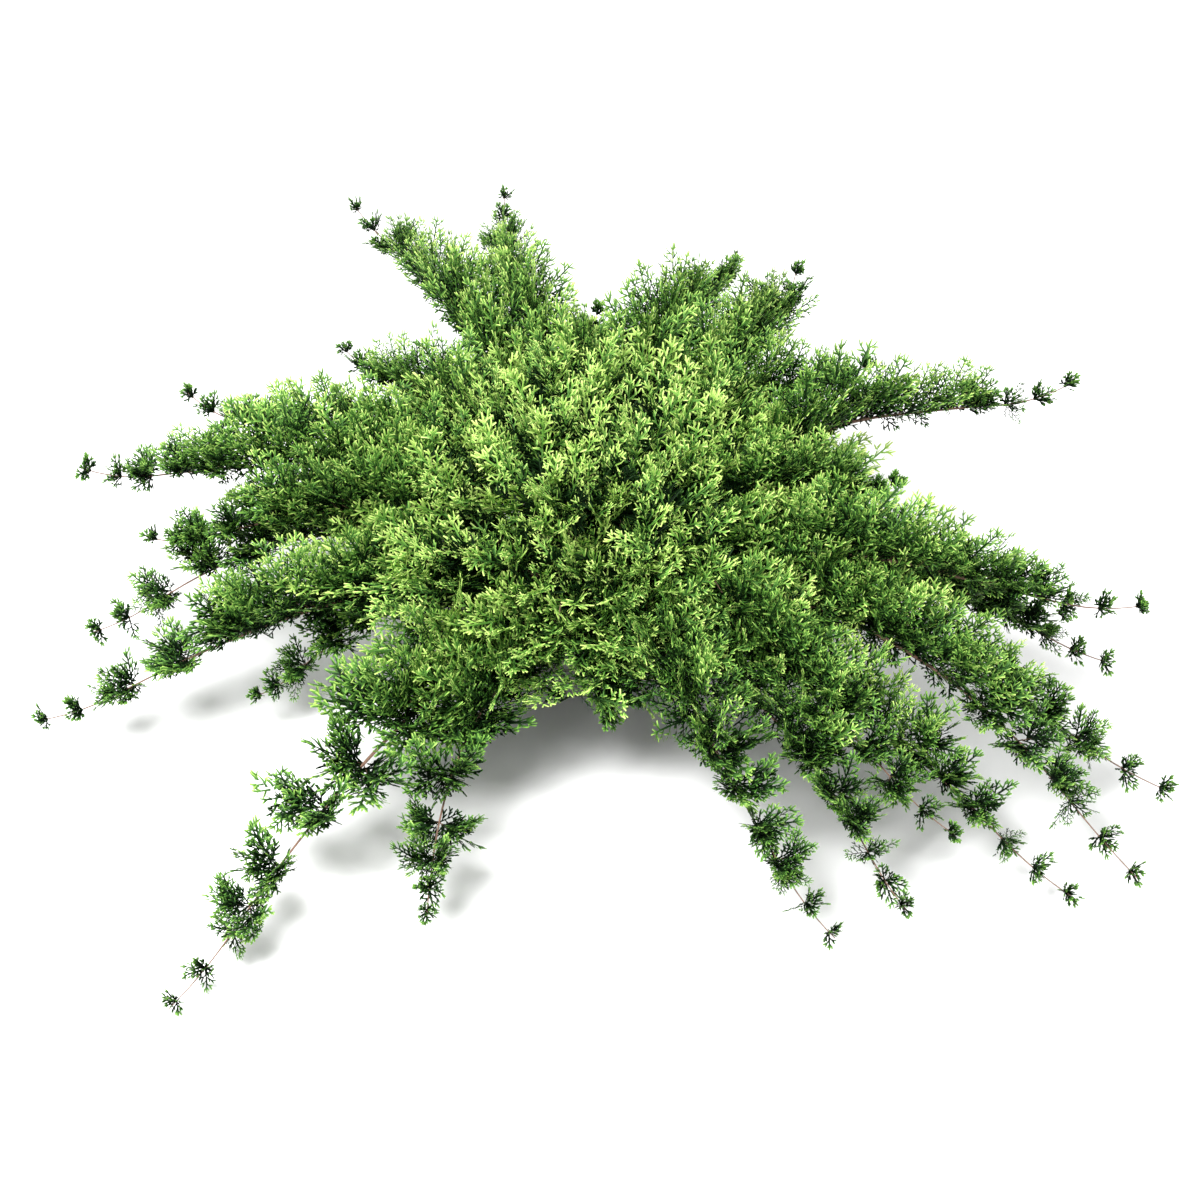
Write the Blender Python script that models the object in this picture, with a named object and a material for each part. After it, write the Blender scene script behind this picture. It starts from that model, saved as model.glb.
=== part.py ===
"""Spreading juniper shrub, built as a stool of stems, arching boughs and masses of flat sprays.

Metres, +Z up. The origin is the middle of the flat cut at ground level, and the boughs radiate
from it. Headings are degrees anticlockwise from +X, seen from above; -Y is the near side.
"""
import math
import random
from collections import namedtuple

import bmesh
import bpy
import numpy as np
from mathutils import Matrix, Vector
from mathutils.bvhtree import BVHTree

# Every bough runs out from the stool along its heading. It rises to its crest at the fraction
# crest_at of its reach, droops from there as a parabola and turns up at the tip. Sweep bows it
# sideways, in degrees at mid length. Girth is the radius at the ground. Foliage starts at the
# fraction leafy_from. A bough of its own carries the mass where limb is True; the others are
# short, and their foliage stem stands on the stool itself.
Bough = namedtuple("Bough", "name heading reach crest crest_at tip sweep girth leafy_from limb")

LIMBS = [
    Bough("right_1", 12, 1.09, 0.45, 0.60, 0.51, 4, 0.0080, 0.30, True),
    Bough("right_2", -3, 0.66, 0.40, 0.70, 0.41, -3, 0.0060, 0.30, False),
    Bough("right_3", -13, 1.04, 0.25, 0.50, 0.21, -3, 0.0050, 0.42, True),
    Bough("right_4", -20, 1.15, 0.31, 0.45, 0.19, 3, 0.0065, 0.34, True),
    Bough("right_5", -24, 1.22, 0.40, 0.60, 0.40, -4, 0.0080, 0.28, True),
    Bough("right_6", -30, 1.35, 0.27, 0.45, 0.07, -2, 0.0080, 0.32, True),
    Bough("front_right_1", -41, 1.41, 0.30, 0.42, 0.05, 4, 0.0085, 0.28, True),
    Bough("front_right_2", -47, 1.36, 0.22, 0.42, 0.06, 0, 0.0070, 0.30, True),
    Bough("front_right_3", -52, 1.15, 0.31, 0.45, 0.14, -3, 0.0065, 0.28, True),
    Bough("front_1", -63, 1.29, 0.23, 0.45, 0.16, 3, 0.0075, 0.28, True),
    Bough("front_2", -69, 1.27, 0.29, 0.42, 0.12, -4, 0.0075, 0.28, True),
    Bough("front_3", -86, 0.63, 0.27, 0.60, 0.21, 0, 0.0060, 0.30, False),
    Bough("front_4", -105, 1.16, 0.21, 0.42, 0.12, -5, 0.0075, 0.28, True),
    Bough("front_left_1", -121, 1.49, 0.20, 0.40, 0.03, 0, 0.0085, 0.26, True),
    Bough("front_left_2", -150, 0.80, 0.19, 0.50, 0.11, -4, 0.0055, 0.32, False),
    Bough("left_1", -158, 1.23, 0.25, 0.45, 0.09, 4, 0.0075, 0.30, True),
    Bough("left_2", -169, 1.08, 0.31, 0.45, 0.14, -3, 0.0065, 0.32, True),
    Bough("left_3", -172, 0.94, 0.38, 0.55, 0.33, 3, 0.0065, 0.34, True),
    Bough("left_4", 185, 1.07, 0.44, 0.60, 0.48, -4, 0.0080, 0.30, True),
    Bough("back_left_1", 162, 0.94, 0.42, 0.60, 0.45, 4, 0.0075, 0.30, True),
    Bough("back_left_2", 140, 0.73, 0.42, 0.65, 0.47, -3, 0.0065, 0.34, False),
    Bough("back_1", 115, 1.41, 0.42, 0.50, 0.45, -3, 0.0085, 0.26, True),
    Bough("back_2", 99, 1.37, 0.43, 0.50, 0.45, 3, 0.0085, 0.26, True),
    Bough("back_3", 88, 0.66, 0.42, 0.65, 0.47, 3, 0.0065, 0.30, False),
    Bough("back_right_1", 68, 0.95, 0.45, 0.60, 0.49, 4, 0.0075, 0.30, True),
    Bough("back_right_2", 60, 1.01, 0.42, 0.60, 0.47, -4, 0.0075, 0.30, True),
    Bough("back_right_3", 35, 0.78, 0.42, 0.60, 0.44, 4, 0.0070, 0.32, True),
]

# Short upright stems fill the crown, each with a dense mass at its end: heading, reach and height.
CROWN = [
    (32, 0.40, 0.44),
    (85, 0.42, 0.45),
    (138, 0.42, 0.44),
    (190, 0.46, 0.40),
    (-138, 0.50, 0.34),
    (-97, 0.48, 0.36),
    (-57, 0.50, 0.38),
    (-14, 0.48, 0.41),
    (125, 0.17, 0.46),
    (-62, 0.17, 0.45),
]
CROWN_CREST_AT = 0.92
CROWN_GIRTH = 0.0060
CROWN_LEAFY_FROM = 0.39

# Stool
CUT_RADIUS = 0.046
CUT_HEIGHT = 0.022
STEM_RING = 0.034
STEM_CLEAR = 0.004
MIN_STEM_RUN = 0.10
MAX_STEM_SHARE = 0.45
CUT_TAPER = 0.86

# Limbs and stems
LIMB_SIDES = 5
STUB_SIDES = 5
STEM_SIDES = 3
TIP_RADIUS = 0.0014
TAPER_POWER = 0.8
BARE_SHARE = 0.05
JOINT_GAP = 0.0003
JOINT_STRAIGHT = 0.010
STUB_STEP = 0.15
LIMB_STEP = 0.11
STEM_STEP = 0.12
CURL = 0.045
CURL_FROM = 0.86
ARC_PIECES = 8
PATH_SAMPLES = 60

# Foliage
SPACING = 0.097
SPRAY_LENGTH = 0.210
SPRAY_TIP_SHARE = 0.36
SPRAY_WIDTH = 0.52
SPRAY_THICK = 0.036
SPRAY_VARY = (0.85, 1.10)
TWIG_SHARE = 0.22
TWIG_RADIUS = 0.0030
TWIG_TAPER = 0.7
ROOT_SUNK = 0.006
SEED = 7

# How sprays stand, in degrees: away from the bough's heading, above it and turned on their axis.
TURN = (30, 75)
SIDE_LIFT = (-8, 30)
TOP_LIFT = (25, 65)
TOP_LEAN = 0.5
ROLL = 60

# A spray that finds no room is tried again, each time this share smaller.
TRIES = 12
SHRINK = 0.035
SPACE_OVER = 0.040
CLEAR = 1.08
CLEAR_THICK = 1.6
GROUND_GAP = 0.004

# The dense mass of a crown stem is a flattened core that sprays stand out of all round.
CORE_AT = 0.92
CORE_RADIUS = 0.095
CORE_FLAT = 0.40
CORE_SHRINK = 0.06
CORE_ROOT = 0.85
CORE_SPRAYS = 10
CORE_VARY = (0.80, 1.00)
CORE_LIFT = 48
CORE_TURN_VARY = 20
GOLDEN_TURN = 137.5

# A spray seen from above, on an axis one unit long: blunt root, two pairs of teeth and the tip.
SPRAY_CENTRE = 0.34
SPRAY_SIDE = [(0.00, 0.040), (0.50, 0.50), (0.56, 0.20), (0.82, 0.33)]

BARK = ("bark", (0.16, 0.10, 0.07), 0.85)
YOUNG_BARK = ("young_bark", (0.25, 0.13, 0.09), 0.75)
FOLIAGE = ("foliage", (0.10, 0.24, 0.05), 0.6)


def material(name, colour, roughness):
    """Principled material with one plain colour."""
    made = bpy.data.materials.get(name) or bpy.data.materials.new(name)
    made.use_nodes = True
    shader = made.node_tree.nodes["Principled BSDF"]
    shader.inputs["Base Color"].default_value = (*colour, 1.0)
    shader.inputs["Roughness"].default_value = roughness
    return made


def clear_scene():
    for thing in list(bpy.data.objects):
        bpy.data.objects.remove(thing, do_unlink=True)


def new_collection(name):
    made = bpy.data.collections.new(name)
    bpy.context.scene.collection.children.link(made)
    return made


def crown_stem(number, heading, reach, height):
    """Short stem that climbs nearly all its way and has no bough of its own."""
    return Bough(
        name=f"crown_{number}",
        heading=heading,
        reach=reach,
        crest=height,
        crest_at=CROWN_CREST_AT,
        tip=height,
        sweep=0,
        girth=CROWN_GIRTH,
        leafy_from=CROWN_LEAFY_FROM,
        limb=False,
    )


def bough_point(bough, s):
    """Point of the bough's middle line at the fraction s of its reach."""
    heading = math.radians(bough.heading + bough.sweep * math.sin(math.pi * s))
    out = STEM_RING + (bough.reach - STEM_RING) * s
    if s < bough.crest_at:
        height = bough.crest * (1 - (1 - s / bough.crest_at) ** 2)
    else:
        droop = (s - bough.crest_at) / (1 - bough.crest_at)
        height = bough.crest + (bough.tip - CURL - bough.crest) * droop ** 2
    height += CURL * (max(0.0, s - CURL_FROM) / (1 - CURL_FROM)) ** 2
    return Vector((out * math.cos(heading), out * math.sin(heading), height))


def bough_direction(bough, s):
    behind = bough_point(bough, max(0.0, s - 0.01))
    ahead = bough_point(bough, min(1.0, s + 0.01))
    return (ahead - behind).normalized()


def bough_radius(bough, s):
    """Radius at the fraction s, tapering evenly to the tip."""
    return bough.girth + (TIP_RADIUS - bough.girth) * s ** TAPER_POWER


def run_points(bough, start, end, spacing):
    """Fractions from start to end, about one every spacing metres of the way."""
    knots = [bough_point(bough, start + (end - start) * i / ARC_PIECES) for i in range(ARC_PIECES + 1)]
    length = sum((b - a).length for a, b in zip(knots, knots[1:]))
    count = max(2, round(length / spacing))
    return [start + (end - start) * i / count for i in range(count + 1)]


def ring_curve(sides):
    """Regular polygon of unit radius, the section of every limb and twig."""
    name = f"ring_{sides}"
    if name in bpy.data.objects:
        return bpy.data.objects[name]
    data = bpy.data.curves.new(name, "CURVE")
    spline = data.splines.new("POLY")
    spline.points.add(sides - 1)
    spline.use_cyclic_u = True
    for i, point in enumerate(spline.points):
        turn = math.tau * i / sides
        point.co = (math.cos(turn), math.sin(turn), 0.0, 1.0)
    ring = bpy.data.objects.new(name, data)
    ring.hide_render = True
    ring.display_type = "WIRE"
    guides.objects.link(ring)
    return ring


def evaluated_mesh(thing):
    """Mesh of a curve or of an object with its modifiers applied."""
    bpy.context.view_layer.update()
    return bpy.data.meshes.new_from_object(thing.evaluated_get(bpy.context.evaluated_depsgraph_get()))


def tube(name, points, radii, sides, collection):
    """Tapering limb along points, made as a bevelled curve and kept as a closed mesh."""
    data = bpy.data.curves.new(name, "CURVE")
    data.dimensions = "3D"
    data.bevel_mode = "OBJECT"
    data.bevel_object = ring_curve(sides)
    data.use_fill_caps = True
    spline = data.splines.new("POLY")
    spline.points.add(len(points) - 1)
    for knot, place, radius in zip(spline.points, points, radii):
        knot.co = (*place, 1.0)
        knot.radius = radius
    curve = bpy.data.objects.new(name + "_curve", data)
    guides.objects.link(curve)
    mesh = evaluated_mesh(curve)
    mesh.name = name
    bpy.data.objects.remove(curve, do_unlink=True)
    work = bmesh.new()
    work.from_mesh(mesh)
    bmesh.ops.remove_doubles(work, verts=work.verts, dist=1e-6)
    bmesh.ops.recalc_face_normals(work, faces=work.faces)
    work.to_mesh(mesh)
    work.free()
    limb = bpy.data.objects.new(name, mesh)
    collection.objects.link(limb)
    return limb


def union(target, tools):
    """Joins every object of the collection tools to target and removes them."""
    modifier = target.modifiers.new("join", "BOOLEAN")
    modifier.operation = "UNION"
    modifier.operand_type = "COLLECTION"
    modifier.collection = tools
    modifier.solver = "MANIFOLD"
    joined = evaluated_mesh(target)
    target.modifiers.clear()
    target.data = joined
    for tool in list(tools.objects):
        bpy.data.objects.remove(tool, do_unlink=True)
    bpy.data.collections.remove(tools)
    keep_largest_body(joined)


def keep_largest_body(mesh):
    """Drops loose scrap, so that one connected body is left."""
    work = bmesh.new()
    work.from_mesh(mesh)
    unseen = set(work.verts)
    bodies = []
    while unseen:
        body = {unseen.pop()}
        edge = list(body)
        while edge:
            for link in edge.pop().link_edges:
                for vert in link.verts:
                    if vert in unseen:
                        unseen.remove(vert)
                        body.add(vert)
                        edge.append(vert)
        bodies.append(body)
    bodies.sort(key=len)
    scrap = [vert for body in bodies[:-1] for vert in body]
    bmesh.ops.delete(work, geom=scrap, context="VERTS")
    work.to_mesh(mesh)
    work.free()


def stem_end(bough, paths):
    """Fraction of the reach where a stem has parted from all its neighbours and the stool ends."""
    for s in run_points(bough, MIN_STEM_RUN / bough.reach, MAX_STEM_SHARE, 0.01):
        here = np.array(bough_point(bough, s))
        gap = min(
            np.linalg.norm(paths[other.name] - here, axis=1).min() - other.girth
            for other in BOUGHS
            if other is not bough
        )
        if gap > bough_radius(bough, s) + STEM_CLEAR:
            return s
    return MAX_STEM_SHARE


def joint_points(bough, s, towards):
    """End point of a limb at s and the point that keeps its last stretch straight."""
    direction = bough_direction(bough, s)
    end = bough_point(bough, s)
    return end, end + direction * JOINT_STRAIGHT * towards


def make_trunk(ends):
    """Stool: a short butt with a flat cut, and a stub of each stem up to where they have parted."""
    stubs = new_collection("stubs")
    for bough in BOUGHS:
        end = ends[bough.name]
        tip, before_tip = joint_points(bough, end, -1)
        fractions = run_points(bough, 0.0, end - JOINT_STRAIGHT / bough.reach, STUB_STEP)
        points = [bough_point(bough, s) for s in fractions[:-1]] + [before_tip, tip]
        points[0].z = CUT_HEIGHT * 0.5
        radii = [bough_radius(bough, s) for s in fractions] + [bough_radius(bough, end)]
        tube("stub_" + bough.name, points, radii, STUB_SIDES, stubs)
    work = bmesh.new()
    top = CUT_RADIUS * CUT_TAPER
    bmesh.ops.create_cone(
        work, cap_ends=True, segments=16, radius1=CUT_RADIUS, radius2=top, depth=CUT_HEIGHT
    )
    bmesh.ops.translate(work, verts=work.verts, vec=(0, 0, CUT_HEIGHT / 2))
    mesh = bpy.data.meshes.new("trunk")
    work.to_mesh(mesh)
    work.free()
    trunk = bpy.data.objects.new("trunk", mesh)
    shrub.objects.link(trunk)
    union(trunk, stubs)
    trunk.data.materials.append(material(*BARK))
    return trunk


def make_bough(bough, start, end):
    """One tapering limb from its stub, 0.3 mm clear, to where its foliage starts."""
    first, after_first = joint_points(bough, start, 1)
    last, before_last = joint_points(bough, end, -1)
    first += bough_direction(bough, start) * JOINT_GAP
    edge = JOINT_STRAIGHT / bough.reach
    middle = run_points(bough, start + edge, end - edge, LIMB_STEP)
    points = [first, after_first] + [bough_point(bough, s) for s in middle[1:-1]] + [before_last, last]
    radii = [bough_radius(bough, s) for s in [start] + middle + [end]]
    limb = tube("bough_" + bough.name, points, radii, LIMB_SIDES, shrub)
    limb.data.materials.append(material(*YOUNG_BARK))
    return limb


def spray_outline():
    """Outline of a spray from the root round to the tip and back, as fractions of its length."""
    right = [(x, -y * SPRAY_WIDTH) for x, y in SPRAY_SIDE]
    left = [(x, y * SPRAY_WIDTH) for x, y in reversed(SPRAY_SIDE)]
    return right + [(1.0, 0.0)] + left


def spray_mesh():
    """Toothed blade one unit long: a flat double pyramid whose rim is moved to the outline."""
    outline = spray_outline()
    work = bmesh.new()
    bmesh.ops.create_uvsphere(work, u_segments=len(outline), v_segments=2, radius=1.0)
    rim = [vert for vert in work.verts if abs(vert.co.z) < 0.5]
    poles = [vert for vert in work.verts if abs(vert.co.z) >= 0.5]
    rim.sort(key=lambda vert: math.atan2(vert.co.y, vert.co.x))
    outline.sort(key=lambda point: math.atan2(point[1], point[0] - SPRAY_CENTRE))
    for vert, (x, y) in zip(rim, outline):
        vert.co = (x, y, 0.0)
    for vert in poles:
        vert.co = (SPRAY_CENTRE, 0.0, math.copysign(SPRAY_THICK / 2, vert.co.z))
    mesh = bpy.data.meshes.new("spray")
    bmesh.ops.recalc_face_normals(work, faces=work.faces)
    work.to_mesh(mesh)
    work.free()
    return mesh


def frame_matrix(place, axis, up, scale):
    """Matrix that lays local X along axis with local Z as near up as it can be."""
    x_axis = axis.normalized()
    y_axis = up.cross(x_axis).normalized()
    z_axis = x_axis.cross(y_axis)
    turn = Matrix((x_axis, y_axis, z_axis)).transposed().to_4x4()
    return Matrix.Translation(place) @ turn @ Matrix.Scale(scale, 4)


def distances(places, path):
    """Distance from each place to the nearest point of the path."""
    return np.linalg.norm(places[:, None, :] - path[None, :, :], axis=2).min(axis=1)


def mesh_tree(mesh, matrix):
    verts = [matrix @ vert.co for vert in mesh.vertices]
    return BVHTree.FromPolygons(verts, [tuple(face.vertices) for face in mesh.polygons])


class Space:
    """Knows whose space each place is and what already stands there."""

    def __init__(self, paths):
        self.paths = paths
        self.others = {
            name: np.concatenate([path for other, path in paths.items() if other != name]) for name in paths
        }
        self.limbs = []
        self.centres = []
        self.sizes = []
        self.trees = []

    def add_limb(self, thing):
        self.limbs.append((thing.name, mesh_tree(thing.data, Matrix())))

    def add_piece(self, mesh, matrix, centre, size):
        self.centres.append(tuple(centre))
        self.sizes.append(size)
        self.trees.append(mesh_tree(mesh, matrix))

    def allows(self, bough, mesh, matrix, centre, size, own_stem):
        """True where a piece is nearest its own bough, off the ground and clear of all the rest."""
        points = [matrix @ vert.co for vert in mesh.vertices]
        if min(point.z for point in points) < GROUND_GAP:
            return False
        places = np.array([tuple(point) for point in points])
        own = distances(places, self.paths[bough.name])
        other = distances(places, self.others[bough.name])
        if (own - other).max() > SPACE_OVER:
            return False
        tree = mesh_tree(mesh, matrix @ Matrix.Diagonal((CLEAR, CLEAR, CLEAR_THICK, 1.0)))
        if any(tree.overlap(limb) for name, limb in self.limbs if name != own_stem):
            return False
        if not self.trees:
            return True
        apart = np.linalg.norm(np.array(self.centres) - np.array(tuple(centre)), axis=1)
        near = np.nonzero(apart < np.array(self.sizes) + size)[0]
        return not any(tree.overlap(self.trees[i]) for i in near)


def twig_mesh(length):
    """Three-sided twig of the given length along X."""
    work = bmesh.new()
    end = TWIG_RADIUS * TWIG_TAPER
    bmesh.ops.create_cone(
        work, cap_ends=True, segments=3, radius1=TWIG_RADIUS, radius2=end, depth=length
    )
    bmesh.ops.translate(work, verts=work.verts, vec=(0, 0, length / 2))
    bmesh.ops.rotate(work, verts=work.verts, matrix=Matrix.Rotation(math.pi / 2, 3, "Y"))
    mesh = bpy.data.meshes.new("twig")
    work.to_mesh(mesh)
    work.free()
    return mesh


def stem_fractions(bough, start):
    """Fractions of the reach where the stem of a mass has its rings."""
    return run_points(bough, start + JOINT_STRAIGHT / bough.reach, 1.0, STEM_STEP)


def make_stem(bough, start):
    """Three-sided stem of a mass, 0.3 mm clear of the limb that carries it, out to the tip."""
    first, after_first = joint_points(bough, start, 1)
    first += bough_direction(bough, start) * JOINT_GAP
    fractions = stem_fractions(bough, start)
    points = [first, after_first] + [bough_point(bough, s) for s in fractions[1:]]
    radii = [bough_radius(bough, s) for s in [start] + fractions]
    return tube("foliage_" + bough.name, points, radii, STEM_SIDES, shrub)


def stem_point(bough, start, s):
    """Point at s on the stem's straight run between the two rings about it."""
    fractions = stem_fractions(bough, start)
    for low, high in zip(fractions, fractions[1:]):
        if s <= high:
            share = (s - low) / (high - low)
            return bough_point(bough, low).lerp(bough_point(bough, high), share)
    return bough_point(bough, 1.0)


def core_mesh():
    """Low ball of unit radius."""
    work = bmesh.new()
    bmesh.ops.create_uvsphere(work, u_segments=8, v_segments=4, radius=1.0)
    mesh = bpy.data.meshes.new("core")
    work.to_mesh(mesh)
    work.free()
    return mesh


def spray_size(s):
    """Length of a spray at the fraction s of the bough: full to half way, then less to the tip."""
    return SPRAY_LENGTH * (1 - (1 - SPRAY_TIP_SHARE) * max(0.0, s - 0.5) / 0.5)


def spray_axis(bough, s, side, rng):
    """Way that a spray points, and its upper face, for a spray on top (side 0) or at either side."""
    ahead = bough_direction(bough, s)
    across = ahead.cross(Vector((0, 0, 1))).normalized()
    above = across.cross(ahead)
    turn = math.radians(rng.uniform(*TURN))
    lift = math.radians(rng.uniform(*(SIDE_LIFT if side else TOP_LIFT)))
    lean = side if side else rng.uniform(-TOP_LEAN, TOP_LEAN)
    axis = ahead * math.cos(turn) + across * math.sin(turn) * lean
    axis = axis.normalized() * math.cos(lift) + above * math.sin(lift)
    roll = math.radians(rng.uniform(-ROLL, ROLL))
    return axis.normalized(), above * math.cos(roll) + across * math.sin(roll)


def grow_foliage(bough, start, stem, space, blade, rng):
    """Twigs and sprays of one mass by a seeded rule, fused to its stem."""
    pieces = new_collection("pieces_" + bough.name)

    def add(mesh, matrix, centre, size):
        if not space.allows(bough, mesh, matrix, centre, size, stem.name):
            return False
        space.add_piece(mesh, matrix, centre, size)
        piece = bpy.data.objects.new(mesh.name, mesh.copy())
        piece.data.transform(matrix)
        pieces.objects.link(piece)
        return True

    if bough in CROWN_STEMS:
        grow_core(bough, start, stem, space, blade, rng, pieces, add)

    last = 1 - SPRAY_LENGTH * SPRAY_TIP_SHARE / bough.reach
    nodes = run_points(bough, max(start, bough.leafy_from) + 0.02, last, SPACING)
    for i, s in enumerate(nodes):
        root = stem_point(bough, start, s)
        side = (0, 1, 0, -1)[i % 4]
        for attempt in range(TRIES):
            length = spray_size(s) * rng.uniform(*SPRAY_VARY) * (1 - SHRINK * attempt)
            axis, up = spray_axis(bough, s, side, rng)
            if i == len(nodes) - 1:
                axis = bough_direction(bough, s)
            twig = TWIG_SHARE * length if side else 0.0
            base = root + axis * (twig - ROOT_SUNK)
            if add(blade, frame_matrix(base, axis, up, length), base + axis * length / 2, length / 2):
                if twig:
                    short = twig_mesh(twig + ROOT_SUNK)
                    short.transform(frame_matrix(root, axis, up, 1.0))
                    space.add_piece(short, Matrix(), root + axis * twig / 2, twig)
                    pieces.objects.link(bpy.data.objects.new("twig", short))
                break
    union(stem, pieces)
    stem.data.materials.append(material(*FOLIAGE))


def grow_core(bough, start, stem, space, blade, rng, pieces, add):
    """Dense heart of a crown mass, as large as the space allows, with sprays all round it."""
    core = core_mesh()
    centre = stem_point(bough, start, CORE_AT)
    for attempt in range(TRIES):
        radius = CORE_RADIUS * (1 - CORE_SHRINK * attempt)
        shape = Matrix.Translation(centre) @ Matrix.Diagonal((radius, radius, radius * CORE_FLAT, 1.0))
        if space.allows(bough, core, shape, centre, radius, stem.name):
            break
    else:
        return
    for i in range(CORE_SPRAYS):
        turn = math.radians(GOLDEN_TURN * i + rng.uniform(-CORE_TURN_VARY, CORE_TURN_VARY))
        lift = math.radians(CORE_LIFT * i / CORE_SPRAYS)
        out = Vector((math.cos(turn), math.sin(turn), 0.0))
        axis = out * math.cos(lift) + Vector((0, 0, math.sin(lift)))
        root = shape @ (CORE_ROOT * axis)
        length = SPRAY_LENGTH * rng.uniform(*CORE_VARY)
        up = Vector((0, 0, 1)) - out * rng.uniform(-0.5, 0.5)
        add(blade, frame_matrix(root, axis, up, length), root + axis * length / 2, length / 2)
    space.add_piece(core, shape, centre, radius)
    core.transform(shape)
    pieces.objects.link(bpy.data.objects.new("core", core))


def bough_path(bough):
    """Points along the whole bough, for measuring how near other things are."""
    return np.array([tuple(bough_point(bough, i / PATH_SAMPLES)) for i in range(PATH_SAMPLES + 1)])


def make_shrub():
    paths = {bough.name: bough_path(bough) for bough in BOUGHS}
    ends = {bough.name: stem_end(bough, paths) for bough in BOUGHS}
    space = Space(paths)
    space.add_limb(make_trunk(ends))
    stems = {}
    for bough in BOUGHS:
        if bough.limb:
            leafy = max(bough.leafy_from, ends[bough.name] + BARE_SHARE)
            space.add_limb(make_bough(bough, ends[bough.name], leafy))
            ends[bough.name] = leafy
        stems[bough.name] = make_stem(bough, ends[bough.name])
        space.add_limb(stems[bough.name])
    blade = spray_mesh()
    rng = random.Random(SEED)
    for bough in sorted(BOUGHS, key=lambda bough: bough.reach):
        grow_foliage(bough, ends[bough.name], stems[bough.name], space, blade, rng)


CROWN_STEMS = [crown_stem(number, *row) for number, row in enumerate(CROWN, start=1)]
BOUGHS = LIMBS + CROWN_STEMS

clear_scene()
shrub = new_collection("juniper_shrub")
guides = new_collection("guides")
make_shrub()
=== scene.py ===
# %% [markdown]
# # A spreading juniper
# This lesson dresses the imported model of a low, spreading juniper shrub. The real plant is a stool
# of stems at ground level, long arching boughs that radiate from it, and flat ferny sprays of
# scale leaves that clothe the boughs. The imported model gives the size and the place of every
# bough, so the first step loads it as a frame that nothing here may move.

# %% Load the frame
import math
import random
from collections import namedtuple

import bmesh
import bpy
import numpy as np
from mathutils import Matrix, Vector, noise


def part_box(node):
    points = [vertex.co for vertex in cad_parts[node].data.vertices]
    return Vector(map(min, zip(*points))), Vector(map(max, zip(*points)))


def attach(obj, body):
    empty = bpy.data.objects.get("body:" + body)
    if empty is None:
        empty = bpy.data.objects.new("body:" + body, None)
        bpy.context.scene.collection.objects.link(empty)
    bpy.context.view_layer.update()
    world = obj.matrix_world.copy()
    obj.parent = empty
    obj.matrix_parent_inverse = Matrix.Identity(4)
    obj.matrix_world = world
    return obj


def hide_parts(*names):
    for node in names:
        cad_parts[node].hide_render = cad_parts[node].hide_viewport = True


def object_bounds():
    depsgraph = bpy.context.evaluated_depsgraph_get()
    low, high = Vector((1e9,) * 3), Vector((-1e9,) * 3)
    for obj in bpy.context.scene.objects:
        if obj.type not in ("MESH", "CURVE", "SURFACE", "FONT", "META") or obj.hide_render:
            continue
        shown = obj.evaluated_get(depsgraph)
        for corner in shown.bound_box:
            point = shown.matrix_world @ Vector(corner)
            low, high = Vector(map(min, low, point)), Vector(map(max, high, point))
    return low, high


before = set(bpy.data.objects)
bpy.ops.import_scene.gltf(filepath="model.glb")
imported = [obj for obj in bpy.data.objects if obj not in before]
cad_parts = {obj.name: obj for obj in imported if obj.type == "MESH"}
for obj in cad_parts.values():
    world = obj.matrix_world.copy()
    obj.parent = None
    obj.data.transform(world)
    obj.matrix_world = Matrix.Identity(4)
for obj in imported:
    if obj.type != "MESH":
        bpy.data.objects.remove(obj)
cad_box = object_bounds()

print("nodes in the frame:", len(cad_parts))
print("model box:", [list(corner) for corner in cad_box])

# %% [markdown]
# ## The camera
# The photograph looks down on the shrub from the front, about a third of the way up from level.
# A long lens far away keeps the near boughs from looking swollen. The camera looks at the foot of
# the stems, and a small shift of the lens puts the whole plant in the middle of the picture.

# %% Camera
VIEW_ELEVATION = math.radians(34)
VIEW_DISTANCE = 5.93
LENS = 79.5
SHIFT = (0.010, 0.027)

camera_data = bpy.data.cameras.new("camera")
camera_data.lens = LENS
camera_data.shift_x, camera_data.shift_y = SHIFT
camera = bpy.data.objects.new("camera", camera_data)
camera.location = (
    0.0,
    -VIEW_DISTANCE * math.cos(VIEW_ELEVATION),
    VIEW_DISTANCE * math.sin(VIEW_ELEVATION),
)
camera.rotation_euler = (math.pi / 2 - VIEW_ELEVATION, 0.0, 0.0)
bpy.context.scene.collection.objects.link(camera)
bpy.context.scene.camera = camera
print("camera at", [round(value, 3) for value in camera.location])

# %% [markdown]
# ## Floor and light
# The photograph has a plain white ground and even light. A wide pale floor and a pale sky stand for
# that. One large soft lamp above, in front and to the left lights the tips, and a weaker one from
# behind rims the far boughs, so that the sprays keep their depth.

# %% Floor and light
FLOOR_SIZE = 14.0
FLOOR_COLOUR = (0.93, 0.93, 0.93, 1.0)
SKY_COLOUR = (1.0, 1.0, 1.0, 1.0)
SKY_STRENGTH = 0.80


def plain_material(name, colour, roughness):
    """Principled material with one plain colour."""
    made = bpy.data.materials.new(name)
    made.use_nodes = True
    shader = made.node_tree.nodes["Principled BSDF"]
    shader.inputs["Base Color"].default_value = colour
    shader.inputs["Roughness"].default_value = roughness
    return made


def area_lamp(name, place, size, power):
    """Square soft lamp that shines on the middle of the plant."""
    data = bpy.data.lights.new(name, "AREA")
    data.size = size
    data.energy = power
    lamp = bpy.data.objects.new(name, data)
    lamp.location = place
    lamp.rotation_euler = (Vector((0, 0, 0.3)) - Vector(place)).to_track_quat("-Z", "Y").to_euler()
    bpy.context.scene.collection.objects.link(lamp)
    return lamp


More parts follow.
